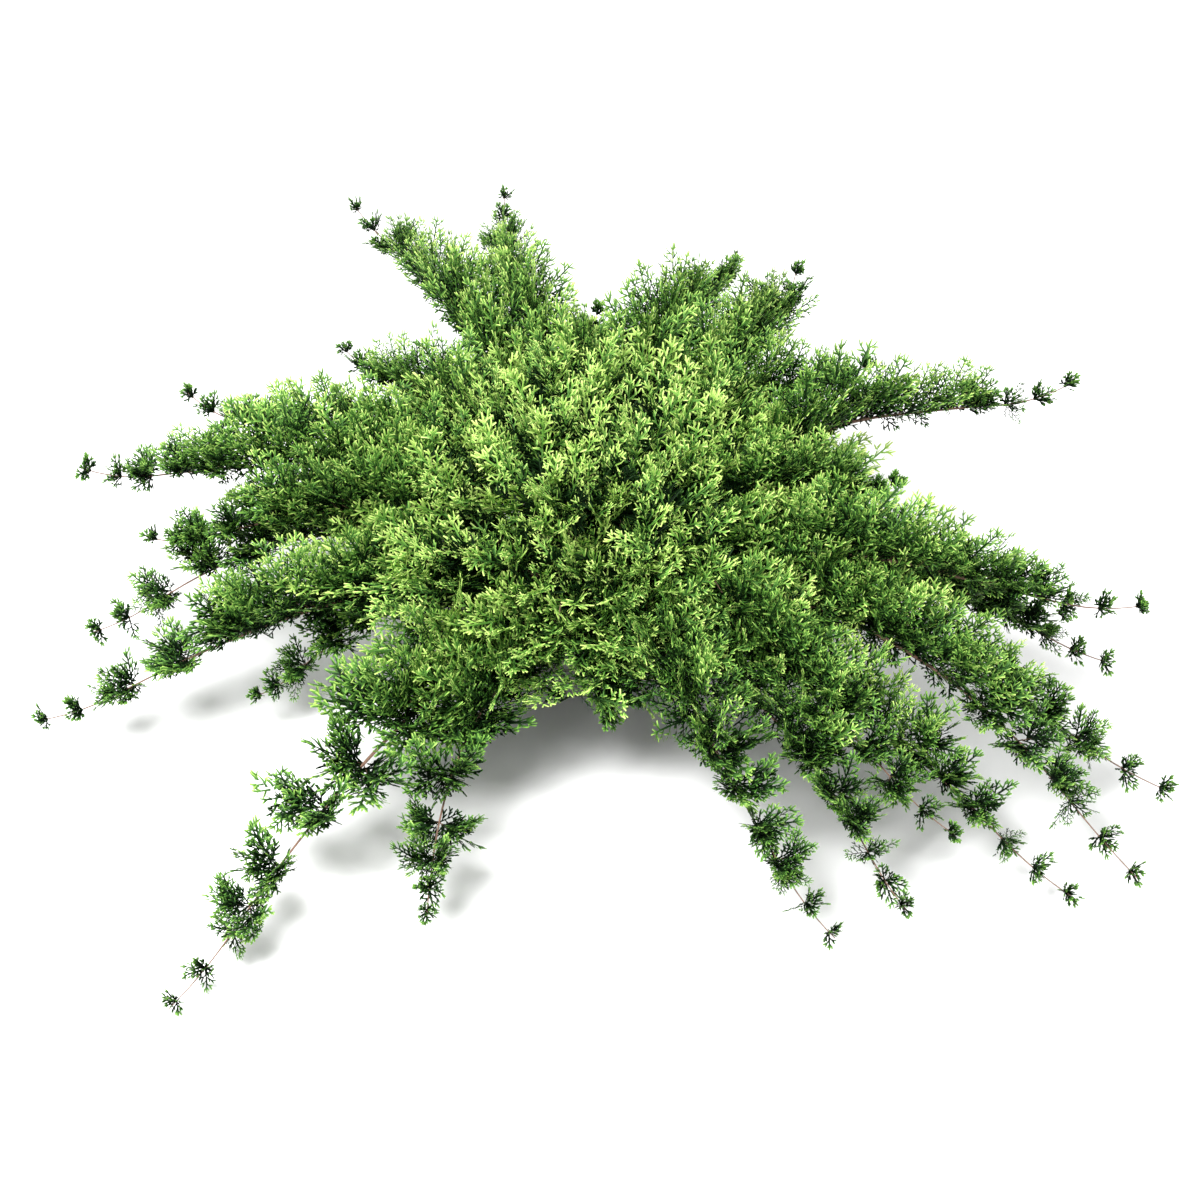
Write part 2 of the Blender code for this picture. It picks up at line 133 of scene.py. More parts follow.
work = bmesh.new()
bmesh.ops.create_grid(work, x_segments=1, y_segments=1, size=FLOOR_SIZE)
floor_mesh = bpy.data.meshes.new("floor")
work.to_mesh(floor_mesh)
work.free()
floor = bpy.data.objects.new("floor", floor_mesh)
floor.data.materials.append(plain_material("floor", FLOOR_COLOUR, 0.9))
bpy.context.scene.collection.objects.link(floor)

world = bpy.data.worlds.new("sky")
world.use_nodes = True
world.node_tree.nodes["Background"].inputs["Color"].default_value = SKY_COLOUR
world.node_tree.nodes["Background"].inputs["Strength"].default_value = SKY_STRENGTH
bpy.context.scene.world = world
bpy.context.scene.view_settings.view_transform = "Standard"
area_lamp("key", (-1.5, -2.6, 4.2), 2.2, 440)
area_lamp("rim", (2.2, 3.0, 3.0), 2.6, 80)

# %% [markdown]
# ## The boughs as numbers
# Every bough runs out from the stool along its heading, rises to a crest, droops as a parabola and
# turns up at its tip. That is one short formula with a row of sizes for each bough, the same sizes
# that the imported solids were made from, so whatever grows here sits on the solids. The last two
# columns are new. They say where along the bough the foliage breaks up into separate tufts, and how
# much broader than usual its foliage is.

# %% Bough table
Bough = namedtuple(
    "Bough",
    "name heading reach crest crest_at tip sweep girth leafy_from limb tufts_from breadth",
    defaults=(1.0,),
)

LIMBS = [
    Bough("right_1", 12, 1.09, 0.45, 0.60, 0.51, 4, 0.0080, 0.30, True, 0.80),
    Bough("right_2", -3, 0.66, 0.40, 0.70, 0.41, -3, 0.0060, 0.30, False, 0.80),
    Bough("right_3", -13, 1.04, 0.25, 0.50, 0.21, -3, 0.0050, 0.42, True, 0.62),
    Bough("right_4", -20, 1.15, 0.31, 0.45, 0.19, 3, 0.0065, 0.34, True, 0.68),
    Bough("right_5", -24, 1.22, 0.40, 0.60, 0.40, -4, 0.0080, 0.28, True, 0.76),
    Bough("right_6", -30, 1.35, 0.27, 0.45, 0.07, -2, 0.0080, 0.32, True, 0.72),
    Bough("front_right_1", -41, 1.41, 0.30, 0.42, 0.05, 4, 0.0085, 0.28, True, 0.70),
    Bough("front_right_2", -47, 1.36, 0.22, 0.42, 0.06, 0, 0.0070, 0.30, True, 0.68),
    Bough("front_right_3", -52, 1.15, 0.31, 0.45, 0.14, -3, 0.0065, 0.28, True, 0.70),
    Bough("front_1", -63, 1.29, 0.23, 0.45, 0.16, 3, 0.0075, 0.28, True, 0.66),
    Bough("front_2", -69, 1.27, 0.29, 0.42, 0.12, -4, 0.0075, 0.28, True, 0.64),
    Bough("front_3", -86, 0.63, 0.27, 0.60, 0.21, 0, 0.0060, 0.30, False, 0.85),
    Bough("front_4", -105, 1.16, 0.21, 0.42, 0.12, -5, 0.0075, 0.28, True, 0.54, 1.4),
    Bough("front_left_1", -121, 1.49, 0.20, 0.40, 0.03, 0, 0.0085, 0.26, True, 0.46, 1.4),
    Bough("front_left_2", -150, 0.80, 0.19, 0.50, 0.11, -4, 0.0055, 0.32, False, 0.60),
    Bough("left_1", -158, 1.23, 0.25, 0.45, 0.09, 4, 0.0075, 0.30, True, 0.62, 1.25),
    Bough("left_2", -169, 1.08, 0.31, 0.45, 0.14, -3, 0.0065, 0.32, True, 0.62, 1.25),
    Bough("left_3", -172, 0.94, 0.38, 0.55, 0.33, 3, 0.0065, 0.34, True, 0.66, 1.25),
    Bough("left_4", 185, 1.07, 0.44, 0.60, 0.48, -4, 0.0080, 0.30, True, 0.72, 1.15),
    Bough("back_left_1", 162, 0.94, 0.42, 0.60, 0.45, 4, 0.0075, 0.30, True, 0.72),
    Bough("back_left_2", 140, 0.73, 0.42, 0.65, 0.47, -3, 0.0065, 0.34, False, 0.80),
    Bough("back_1", 115, 1.41, 0.42, 0.50, 0.45, -3, 0.0085, 0.26, True, 0.83, 1.25),
    Bough("back_2", 99, 1.37, 0.43, 0.50, 0.45, 3, 0.0085, 0.26, True, 0.83),
    Bough("back_3", 88, 0.66, 0.42, 0.65, 0.47, 3, 0.0065, 0.30, False, 0.80),
    Bough("back_right_1", 68, 0.95, 0.45, 0.60, 0.49, 4, 0.0075, 0.30, True, 0.80, 1.5),
    Bough("back_right_2", 60, 1.01, 0.42, 0.60, 0.47, -4, 0.0075, 0.30, True, 0.80, 1.5),
    Bough("back_right_3", 35, 0.78, 0.42, 0.60, 0.44, 4, 0.0070, 0.32, True, 0.88),
]

CROWN = [
    (32, 0.40, 0.44),
    (85, 0.42, 0.45),
    (138, 0.42, 0.44),
    (190, 0.46, 0.40),
    (-138, 0.50, 0.34),
    (-97, 0.48, 0.36),
    (-57, 0.50, 0.38),
    (-14, 0.48, 0.41),
    (125, 0.17, 0.46),
    (-62, 0.17, 0.45),
]

CROWN_STEMS = [
    Bough(f"crown_{number}", heading, reach, height, 0.92, height, 0, 0.0060, 0.39, False, 1.0)
    for number, (heading, reach, height) in enumerate(CROWN, start=1)
]
BOUGHS = LIMBS + CROWN_STEMS

STEM_RING = 0.034
TIP_RADIUS = 0.0014
TAPER_POWER = 0.8
CURL = 0.045
CURL_FROM = 0.86
UP = np.array((0.0, 0.0, 1.0))


def bough_points(bough, s):
    """Points of the bough's middle line at the fractions s of its reach."""
    s = np.asarray(s, dtype=float)
    heading = np.radians(bough.heading + bough.sweep * np.sin(np.pi * s))
    out = STEM_RING + (bough.reach - STEM_RING) * s
    rising = bough.crest * (1 - (1 - s / bough.crest_at) ** 2)
    droop = (s - bough.crest_at) / (1 - bough.crest_at)
    falling = bough.crest + (bough.tip - CURL - bough.crest) * droop**2
    height = np.where(s < bough.crest_at, rising, falling)
    height = height + CURL * (np.clip(s - CURL_FROM, 0, None) / (1 - CURL_FROM)) ** 2
    return np.stack([out * np.cos(heading), out * np.sin(heading), height], axis=-1)


def unit(vector):
    return vector / np.linalg.norm(vector)


def bough_ahead(bough, s):
    """Direction in which the bough runs at the fraction s."""
    return unit(bough_points(bough, min(1.0, s + 0.01)) - bough_points(bough, max(0.0, s - 0.01)))


def bough_radii(bough, s):
    """Radii at the fractions s, tapering evenly to the tip."""
    return bough.girth + (TIP_RADIUS - bough.girth) * np.asarray(s, dtype=float) ** TAPER_POWER


def bough_length(bough, start, end):
    points = bough_points(bough, np.linspace(start, end, 40))
    return np.linalg.norm(np.diff(points, axis=0), axis=1).sum()


print("boughs:", len(BOUGHS), "longest", max(bough.reach for bough in BOUGHS), "m")

# %% [markdown]
# ## Bark
# Old juniper stems have dull brown bark that splits into long fibres. Young shoots are thin, smooth
# and reddish. The fibres follow each limb whichever way it runs, so the pattern can't be tied to the
# axes of the room. Each limb therefore carries its own coordinates in an attribute named grain: two
# numbers go round the limb and one runs along it. One node group turns them into a mask and a
# height, and both barks use it with their own values.

# %% Bark materials
STOOL_BARK = ((0.33, 0.22, 0.145), (0.105, 0.066, 0.044), 0.88)
YOUNG_BARK = ((0.32, 0.185, 0.125), (0.115, 0.062, 0.045), 0.70)


def new_group(name, inputs, outputs):
    """Empty shader node group with named sockets."""
    group = bpy.data.node_groups.new(name, "ShaderNodeTree")
    for socket, kind, value in inputs:
        made = group.interface.new_socket(socket, in_out="INPUT", socket_type=kind)
        made.default_value = value
    for socket, kind in outputs:
        group.interface.new_socket(socket, in_out="OUTPUT", socket_type=kind)
    return group


def link(tree, source, output, target, socket):
    tree.links.new(source.outputs[output], target.inputs[socket])


def fibre_group():
    """Long fibres and fine cracks from a limb's own grain coordinates."""
    group = new_group(
        "bark_fibres",
        [("Fibres", "NodeSocketFloat", 3.0)],
        [("Mask", "NodeSocketFloat"), ("Height", "NodeSocketFloat")],
    )
    nodes = group.nodes
    given = nodes.new("NodeGroupInput")
    out = nodes.new("NodeGroupOutput")
    grain = nodes.new("ShaderNodeAttribute")
    grain.attribute_name = "grain"
    fibres = nodes.new("ShaderNodeTexNoise")
    fibres.inputs["Detail"].default_value = 6.0
    fibres.inputs["Roughness"].default_value = 0.65
    cracks = nodes.new("ShaderNodeTexVoronoi")
    cracks.feature = "DISTANCE_TO_EDGE"
    spread = nodes.new("ShaderNodeMath")
    spread.operation = "MULTIPLY"
    spread.inputs[1].default_value = 1.6
    edge = nodes.new("ShaderNodeMapRange")
    edge.inputs["From Max"].default_value = 0.12
    total = nodes.new("ShaderNodeMath")
    total.operation = "MULTIPLY"
    link(group, grain, "Vector", fibres, "Vector")
    link(group, given, "Fibres", fibres, "Scale")
    link(group, grain, "Vector", cracks, "Vector")
    link(group, given, "Fibres", spread, 0)
    link(group, spread, "Value", cracks, "Scale")
    link(group, cracks, "Distance", edge, "Value")
    link(group, edge, "Result", total, 0)
    link(group, fibres, "Fac", total, 1)
    link(group, fibres, "Fac", out, "Mask")
    link(group, total, "Value", out, "Height")
    return group


FIBRES = fibre_group()


def bark_material(name, light, dark, roughness, fibres, bump):
    """Bark whose two browns, roughness and relief follow the fibres."""
    made = plain_material(name, (*light, 1.0), roughness)
    tree = made.node_tree
    shader = tree.nodes["Principled BSDF"]
    group = tree.nodes.new("ShaderNodeGroup")
    group.node_tree = FIBRES
    group.inputs["Fibres"].default_value = fibres
    ramp = tree.nodes.new("ShaderNodeValToRGB")
    ramp.color_ramp.elements[0].position = 0.36
    ramp.color_ramp.elements[0].color = (*dark, 1.0)
    ramp.color_ramp.elements[1].position = 0.64
    ramp.color_ramp.elements[1].color = (*light, 1.0)
    gloss = tree.nodes.new("ShaderNodeMapRange")
    gloss.inputs["To Min"].default_value = roughness + 0.08
    gloss.inputs["To Max"].default_value = roughness - 0.10
    relief = tree.nodes.new("ShaderNodeBump")
    relief.inputs["Strength"].default_value = 0.8
    relief.inputs["Distance"].default_value = bump
    link(tree, group, "Mask", ramp, "Fac")
    link(tree, ramp, "Color", shader, "Base Color")
    link(tree, group, "Mask", gloss, "Value")
    link(tree, gloss, "Result", shader, "Roughness")
    link(tree, group, "Height", relief, "Height")
    link(tree, relief, "Normal", shader, "Normal")
    return made


stool_bark = bark_material("stool_bark", *STOOL_BARK, fibres=3.2, bump=0.0016)
young_bark = bark_material("young_bark", *YOUNG_BARK, fibres=2.4, bump=0.0006)
print("bark materials:", stool_bark.name, young_bark.name)

# %% [markdown]
# ## Limbs
# A limb is a round tube that tapers and bends, with ridges that run along it. A curve with a bevel
# would give the tube but not the ridges, so a circle is extruded step by step along the bough's
# line. Each new ring is scaled to the bough's radius there, and every point of it is pushed in or
# out by a noise that is stretched along the limb. The limbs of the stool and the boughs between
# stool and foliage are two pieces, because they stand for different nodes. The stems inside the
# foliage come later, as a third.

# %% Limb tubes
LIMB_SIDES = 9
RING_STEP = 0.016
GRAIN_STRETCH = 14.0
RELIEF = 0.13


def rings_along(work, points, radii, sides, relief, seed):
    """Tube from a circle that is extruded along points, with the grain coordinates of its surface."""
    grain = work.verts.layers.float_vector.get("grain") or work.verts.layers.float_vector.new("grain")
    ahead = np.gradient(points, axis=0)
    run = np.concatenate([[0.0], np.cumsum(np.linalg.norm(np.diff(points, axis=0), axis=1))])
    ring = bmesh.ops.create_circle(work, segments=sides, radius=1.0)["verts"]
    first = ring
    for i, (point, radius) in enumerate(zip(points, radii)):
        if i:
            edges = [ring[k].link_edges for k in range(sides)]
            loop = {edge for group in edges for edge in group if set(edge.verts) <= set(ring)}
            made = bmesh.ops.extrude_edge_only(work, edges=list(loop))["geom"]
            new = [thing for thing in made if isinstance(thing, bmesh.types.BMVert)]
            following = {}
            for vert in new:
                for edge in vert.link_edges:
                    other = edge.other_vert(vert)
                    if other in ring:
                        following[other] = vert
            ring = [following[vert] for vert in ring]
        direction = unit(ahead[i])
        side = unit(np.cross(direction, UP))
        above = np.cross(side, direction)
        for k, vert in enumerate(ring):
            turn = math.tau * k / sides
            round_x, round_y = math.cos(turn), math.sin(turn)
            coarse = noise.noise(Vector((round_x * 1.7, round_y * 1.7, run[i] * 9.0 + seed)))
            fine = noise.noise(Vector((round_x * 4.0, round_y * 4.0, run[i] * 30.0 + seed)))
            swell = radius * (1 + relief * (coarse + 0.6 * fine))
            vert.co = Vector(point + swell * (round_x * side + round_y * above))
            vert[grain] = Vector((round_x, round_y, run[i] * GRAIN_STRETCH + seed))
    bmesh.ops.contextual_create(work, geom=first)
    bmesh.ops.contextual_create(work, geom=ring)


def limb_mesh(name, runs, sides, relief=RELIEF):
    """One mesh of many limbs, each given as its points and radii."""
    joined = bmesh.new()
    for number, (points, radii) in enumerate(runs):
        work = bmesh.new()
        rings_along(work, points, radii, sides, relief, seed=3.7 * number)
        bmesh.ops.recalc_face_normals(work, faces=work.faces)
        bmesh.ops.triangulate(work, faces=[face for face in work.faces if len(face.verts) > 4])
        part = bpy.data.meshes.new("limb")
        work.to_mesh(part)
        work.free()
        joined.from_mesh(part)
        bpy.data.meshes.remove(part)
    mesh = bpy.data.meshes.new(name)
    joined.to_mesh(mesh)
    joined.free()
    mesh.shade_smooth()
    return mesh


def bough_run(bough, start, end, step=RING_STEP):
    """Points and radii of a bough between two fractions of its reach."""
    count = max(3, round(bough_length(bough, start, end) / step))
    s = np.linspace(start, end, count + 1)
    return bough_points(bough, s), bough_radii(bough, s)


def node_reach(name, bough, pick):
    """Fraction of the bough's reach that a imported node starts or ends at."""
    low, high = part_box(name)
    s = np.linspace(0, 1, 401)
    points = bough_points(bough, s)
    pad = 0.004
    inside = np.all((points > np.array(low) - pad) & (points < np.array(high) + pad), axis=1)
    return float(pick(s[inside]))


def leafy_start(bough):
    """Fraction where the stem inside the foliage begins."""
    return node_reach("foliage_" + bough.name, bough, min)


STOOL_SHARE = 0.45
STOOL_LIFT = 0.011


def stool_end(bough):
    """Fraction where the stool's stem ends and the bough or the foliage begins."""
    if bough.limb:
        return node_reach("bough_" + bough.name, bough, min)
    return min(STOOL_SHARE, leafy_start(bough))


def new_piece(name, mesh, materials, nodes):
    """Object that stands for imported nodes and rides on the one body."""
    for material in materials:
        mesh.materials.append(material)
    piece = bpy.data.objects.new(name, mesh)
    bpy.context.scene.collection.objects.link(piece)
    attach(piece, "root")
    if nodes:
        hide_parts(*nodes)
    return piece


def stool_runs():
    runs = []
    for bough in BOUGHS:
        points, radii = bough_run(bough, 0.0, stool_end(bough))
        points[0, 2] = STOOL_LIFT
        runs.append((points, radii))
    return runs


stool_mesh = limb_mesh("stool", stool_runs(), LIMB_SIDES)
limb_runs = [bough_run(bough, stool_end(bough), leafy_start(bough)) for bough in BOUGHS if bough.limb]
boughs_mesh = limb_mesh("boughs", limb_runs, LIMB_SIDES)
print("stool:", len(stool_mesh.polygons), "faces; boughs:", len(boughs_mesh.polygons), "faces")

# %% [markdown]
# The stems meet in a low, knuckled butt with a flat cut at the ground. It starts as a cone with a
# closed bottom. Its upper edge is divided and pushed about by noise, so that it reads as grown wood,
# while the flat cut keeps its place.

# %% Butt of the stool
BUTT_RADIUS = 0.046
BUTT_HEIGHT = 0.022
BUTT_TAPER = 0.86
BUTT_KNOBS = 0.004


def add_butt(mesh):
    """Adds the butt to the stool's mesh."""
    work = bmesh.new()
    work.from_mesh(mesh)
    old = set(work.verts)
    grain = work.verts.layers.float_vector["grain"]
    made = bmesh.ops.create_cone(
        work,
        cap_ends=True,
        segments=28,
        radius1=BUTT_RADIUS,
        radius2=BUTT_RADIUS * BUTT_TAPER,
        depth=BUTT_HEIGHT,
    )["verts"]
    bmesh.ops.translate(work, verts=made, vec=(0, 0, BUTT_HEIGHT / 2))
    rings = [edge for edge in work.edges if edge.verts[0] not in old]
    walls = [edge for edge in rings if abs(edge.verts[0].co.z - edge.verts[1].co.z) > 0.01]
    bmesh.ops.subdivide_edges(work, edges=walls, cuts=3)
    top = [face for face in work.faces if face.verts[0] not in old and face.normal.z > 0.9]
    bmesh.ops.inset_region(work, faces=top, thickness=0.012, depth=0.004)
    for vert in work.verts:
        if vert in old:
            continue
        turn = math.atan2(vert.co.y, vert.co.x)
        vert[grain] = Vector((math.cos(turn), math.sin(turn), vert.co.z * GRAIN_STRETCH))
        if vert.co.z > 0.001:
            push = noise.noise(vert.co * 60.0) * BUTT_KNOBS
            vert.co += Vector((math.cos(turn), math.sin(turn), 0.4)) * push
    work.to_mesh(mesh)
    work.free()


add_butt(stool_mesh)
stool = new_piece("stool", stool_mesh, [stool_bark], ["trunk"])
bough_nodes = ["bough_" + bough.name for bough in BOUGHS if bough.limb]
boughs = new_piece("boughs", boughs_mesh, [young_bark], bough_nodes)
print("stool and boughs stand for", 1 + len(bough_nodes), "nodes")

# %% [markdown]
# ## Leaf colours
# The newest tips are yellow-green and the body of a spray is mid green. The darker tones, down to
# nearly black, are painted shade for foliage that the light doesn't reach, and the pale tones dealt
# to sprays on top of the plant are partly painted light. On a joined mesh of thousands of leaves a
# painted pattern would not keep its place, so each colour is a material of its own and is dealt out
# spray by spray. Fine relief and a varying gloss come from a small node group that all of them share.

# %% Leaf materials
# Tones from pale to nearly black, each with its gleam. The dark tones are painted shade, and their
# gleam is low so that no reflection lifts them.
TONES = [
    ("leaf_lime", (0.620, 0.790, 0.220), 0.35),
    ("leaf_yellow_green", (0.350, 0.560, 0.110), 0.35),
    ("leaf_fresh", (0.170, 0.360, 0.052), 0.30),
    ("leaf_mid", (0.072, 0.195, 0.027), 0.25),
    ("leaf_deep", (0.028, 0.090, 0.013), 0.18),
    ("leaf_dark", (0.007, 0.025, 0.005), 0.08),
    ("leaf_shade", (0.002, 0.007, 0.002), 0.04),
]
TWIG_COLOUR = (0.13, 0.075, 0.045)
LEAF_ROUGHNESS = 0.58


def scale_group():
    """Overlapping scale leaves as a height, and a gloss that changes from leaf to leaf."""
    group = new_group(
        "scale_leaves",
        [("Scale", "NodeSocketFloat", 450.0), ("Gloss", "NodeSocketFloat", 0.6)],
        [("Height", "NodeSocketFloat"), ("Roughness", "NodeSocketFloat")],
    )
    nodes = group.nodes
    given = nodes.new("NodeGroupInput")
    out = nodes.new("NodeGroupOutput")
    place = nodes.new("ShaderNodeTexCoord")
    scales = nodes.new("ShaderNodeTexVoronoi")
    patches = nodes.new("ShaderNodeTexNoise")
    patches.inputs["Scale"].default_value = 38.0
    spread = nodes.new("ShaderNodeMath")
    spread.operation = "MULTIPLY_ADD"
    spread.inputs[1].default_value = 0.3
    link(group, place, "Object", scales, "Vector")
    link(group, given, "Scale", scales, "Scale")
    link(group, place, "Object", patches, "Vector")
    link(group, patches, "Fac", spread, 0)
    link(group, given, "Gloss", spread, 2)
    link(group, scales, "Distance", out, "Height")
    link(group, spread, "Value", out, "Roughness")
    return group


SCALES = scale_group()


def leaf_material(name, colour, gleam, scale, relief):
    """One plain leaf colour with the shared relief and gloss, and its own strength of gleam."""
    made = plain_material(name, (*colour, 1.0), LEAF_ROUGHNESS)
    tree = made.node_tree
    shader = tree.nodes["Principled BSDF"]
    shader.inputs["Specular IOR Level"].default_value = gleam
    group = tree.nodes.new("ShaderNodeGroup")
    group.node_tree = SCALES
    group.inputs["Scale"].default_value = scale
    group.inputs["Gloss"].default_value = LEAF_ROUGHNESS - 0.15
    bump = tree.nodes.new("ShaderNodeBump")
    bump.inputs["Strength"].default_value = 0.5
    bump.inputs["Distance"].default_value = relief
    link(tree, group, "Height", bump, "Height")
    link(tree, bump, "Normal", shader, "Normal")
    link(tree, group, "Roughness", shader, "Roughness")
    return made


leaf_materials = [leaf_material(*tone, 450.0, 0.0006) for tone in TONES]
twig_material = leaf_material("twig_skin", TWIG_COLOUR, 0.25, 260.0, 0.0004)
print("leaf colours:", len(leaf_materials))

# %% [markdown]
# ## One spray
# A spray is a flat fern-like feather: an axis, side shoots in turn left and right that bend forward,
# and a row of slender twiglets on every shoot. On a plant with thousands of sprays two triangles have
# to do for a twiglet. Together they are a strip that narrows a little to its blunt end, because a
# twiglet is a rod wrapped in scale leaves. The triangle that holds the end is paler, partly because
# the newest growth is and partly as painted light, and the root triangle of an axis or a shoot is a
# step darker as painted shade. Near its root a whole feather is darker still, painted shade where its
# neighbours shade it. A small spray has fewer shoots and twiglets than a long one, and wider strips
# for its length. Inside the plant, where only darkness shows between the feathers, a coarser spray
# will do. Sprays repeat, so a handful of patterns of each kind are made once as arrays, and every
# spray on the plant is one of them, turned, scaled and put in place.

# %% Spray patterns
STRIP_TIP_WIDTH = 0.62
BLADE_ROLL = 40
PATTERNS = 8
# Tone steps along a feather, painted shade: darker near its root, where the next feathers shade it.
FEATHER_SHADE_STEPS = ((0.28, 2), (0.50, 1), (9.0, 0))
# Painted shade makes the root triangle of an axis or shoot a step darker; the end triangle of a twiglet
# is two steps paler, partly painted light.
SHADED_ROOT, PALE_END = 1, -2
BENT_UP_TO = 0.62


class Pattern:
    """Grows strips and keeps them as arrays of points, triangles and tone steps."""

    def __init__(self, rng, width):
        self.rng = rng
        self.width = width
        self.points = []
        self.faces = []
        self.tones = []

    def strip(self, root, tip, tones, wide=1.0):
        """Strip of two triangles, the first at its root and the second at its tip."""
        direction = unit(tip - root)
        level = unit(np.cross(UP, direction))
        above = np.cross(direction, level)
        roll = math.radians(self.rng.uniform(-BLADE_ROLL, BLADE_ROLL))
        side = (level * math.cos(roll) + above * math.sin(roll)) * self.width * wide / 2
        end = side * STRIP_TIP_WIDTH
        a = len(self.points)
        self.points += [root - side, root + side, tip + end, tip - end]
        self.faces += [(a, a + 1, a + 2), (a, a + 2, a + 3)]
        self.tones += tones

    def rod(self, root, tip, tone, wide=1.0):
        """Axis or shoot, darker at its root as painted shade."""
        self.strip(root, tip, [tone + SHADED_ROOT, tone], wide)

    def twiglet(self, root, tip, tone):
        """Last shoot, pale at its end, partly as the newest growth and partly as painted light."""
        self.strip(root, tip, [tone, tone + PALE_END])

    def arrays(self):
        return np.array(self.points), np.array(self.faces), np.array(self.tones)


def turned(direction, degrees):
    """Direction turned in the plane of the spray."""
    turn = math.radians(degrees)
    x, y, z = direction
    across = x * math.sin(turn) + y * math.cos(turn)
    return np.array((x * math.cos(turn) - y * math.sin(turn), across, z))


def spray_axis_point(x, bow):
    """Point of the spray's axis, which bows sideways and lifts towards its tip."""
    return np.array((x, bow * x * x, 0.10 * x * x))


def feather_shade_step(share):
    """Tone step at this share of a feather: painted shade, dark at its root, bright at its tip."""
    return next(tone for end, tone in FEATHER_SHADE_STEPS if share < end)


def shoot_line(root, angle, length, rng):
    """Side shoot as a function of the share along it: it leaves at this angle and bends forward."""
    lift = UP * rng.uniform(-0.12, 0.18) * length
    middle = root + turned((1.0, 0.0, 0.0), angle) * length * 0.55 + lift * 0.5
    tip = root + turned((1.0, 0.0, 0.0), angle * 0.78) * length + lift
    return lambda t: (1 - t) ** 2 * root + 2 * t * (1 - t) * middle + t * t * tip


def spray_pattern(rng, shoots, longest, width, gap, twiglet):
    """Flat feather one unit long along X, whose shoots carry a twiglet at every gap."""
    made = Pattern(rng, width)
    bow = rng.uniform(-0.14, 0.14)
    knots = [spray_axis_point(x, bow) for x in (0.0, 0.45, 0.86)]
    for low, high in zip(knots, knots[1:]):
        made.rod(low - 0.05 * (high - low), high, feather_shade_step(low[0]))
    side = rng.choice((-1, 1))
    for i in range(shoots):
        share = (i + 0.6) / shoots
        root = spray_axis_point(0.04 + 0.82 * share + rng.uniform(-0.02, 0.02), bow)
        length = longest * (1 - 0.72 * share) * rng.uniform(0.80, 1.15)
        line = shoot_line(root, side * (64 - 14 * share + rng.uniform(-7, 7)), length, rng)
        tone = feather_shade_step(share)
        ends = (0.0, 0.5, 1.0) if share < BENT_UP_TO else (0.0, 1.0)
        for low, high in zip(ends, ends[1:]):
            made.rod(line(low), line(high), tone, wide=0.85)
        lean = side * rng.choice((-1, 1))
        reach = rng.uniform(0.6, 0.9) * gap
        while reach < 0.88 * length:
            t = reach / length
            ahead = unit(line(t + 0.05) - line(t - 0.05))
            fork = turned(ahead, lean * rng.uniform(32, 50)) + UP * rng.uniform(-0.12, 0.20)
            small = twiglet * (1 - 0.30 * t) * rng.uniform(0.75, 1.15)
            made.twiglet(line(t), line(t) + unit(fork) * small, tone)
            lean = -lean
            reach += gap * rng.uniform(0.8, 1.2)
        ahead = unit(line(1.0) - line(0.9))
        made.twiglet(line(0.85), line(0.85) + turned(ahead, -8 * side) * twiglet * 0.65, tone)
        side = -side
    for x, lean, share in ((0.84, 46, 0.65), (0.84, -46, 0.65), (0.86, 0, 0.90)):
        way = turned((1.0, 2 * bow, 0.18), lean + rng.uniform(-6, 6))
        end = spray_axis_point(x, bow)
        made.twiglet(end, end + unit(way) * twiglet * share, feather_shade_step(1.0))
    return made.arrays()


def shade_pattern(rng, shoots, width):
    """Coarse feather one unit long along X, for the inside of the plant, dark with painted shade."""
    made = Pattern(rng, width)
    made.rod(np.zeros(3), spray_axis_point(1.0, 0.0), 0, wide=0.6)
    side = 1
    for i in range(shoots):
        share = (i + 0.5) / shoots
        root = spray_axis_point(0.85 * share, 0.0)
        way = unit(turned((1.0, 0.0, 0.0), side * rng.uniform(30, 60)) + UP * rng.uniform(-0.3, 0.4))
        made.rod(root, root + way * (0.55 - 0.28 * share) * rng.uniform(0.8, 1.1), 0)
        side = -side
    return made.arrays()


pattern_rng = random.Random(11)
PATTERN_SETS = {
    "long": [spray_pattern(pattern_rng, 9, 0.42, 0.035, 0.082, 0.145) for number in range(PATTERNS)],
    "fan": [spray_pattern(pattern_rng, 9, 0.45, 0.054, 0.105, 0.185) for number in range(PATTERNS)],
    "short": [spray_pattern(pattern_rng, 6, 0.48, 0.080, 0.170, 0.240) for number in range(PATTERNS)],
    "knot": [spray_pattern(pattern_rng, 4, 0.52, 0.150, 0.300, 0.340) for number in range(PATTERNS)],
    "shade": [shade_pattern(pattern_rng, 12, 0.064) for number in range(PATTERNS)],
}
for kind, patterns in PATTERN_SETS.items():
    print("triangles in a", kind, "spray:", [len(pattern[1]) for pattern in patterns])

# %% [markdown]
# ## Growing the foliage
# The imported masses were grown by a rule: from each stem, in turn above, right, above and left. The
# same rule runs again here with finer steps. Sprays stand on the sides and the top of a bough and
# hardly at all below it, except near the stool, where they hang as well. Near the crown they sit on
# short laterals, close together. From a certain point outwards they gather in separate tufts, smaller
# and smaller towards the tip, with the bare stem showing between. Dark sprays close to the stem stand
# for the shaded inner growth. In the heart of the plant they are coarse, and further out, where they
# may be seen, they are small and clear. The random numbers have fixed seeds, so the plant is the same
# in every run.

# %% Growth rule
SEED = 5
SPRAY_LENGTH = 0.128
SPRAY_STEP = 0.0220
SHORT_BELOW = 0.055
KNOT_BELOW = 0.040
TIP_SHARE = 0.30
COARSE_RADIUS = 0.40
HEART_RADIUS = 0.38
CLEAR_RADIUS = 0.95
LATERAL_RADIUS = 0.0014
HIGHEST = cad_box[1].z + 0.010
LOWEST = 0.006

Sprig = namedtuple("Sprig", "place ahead face length tone kind")


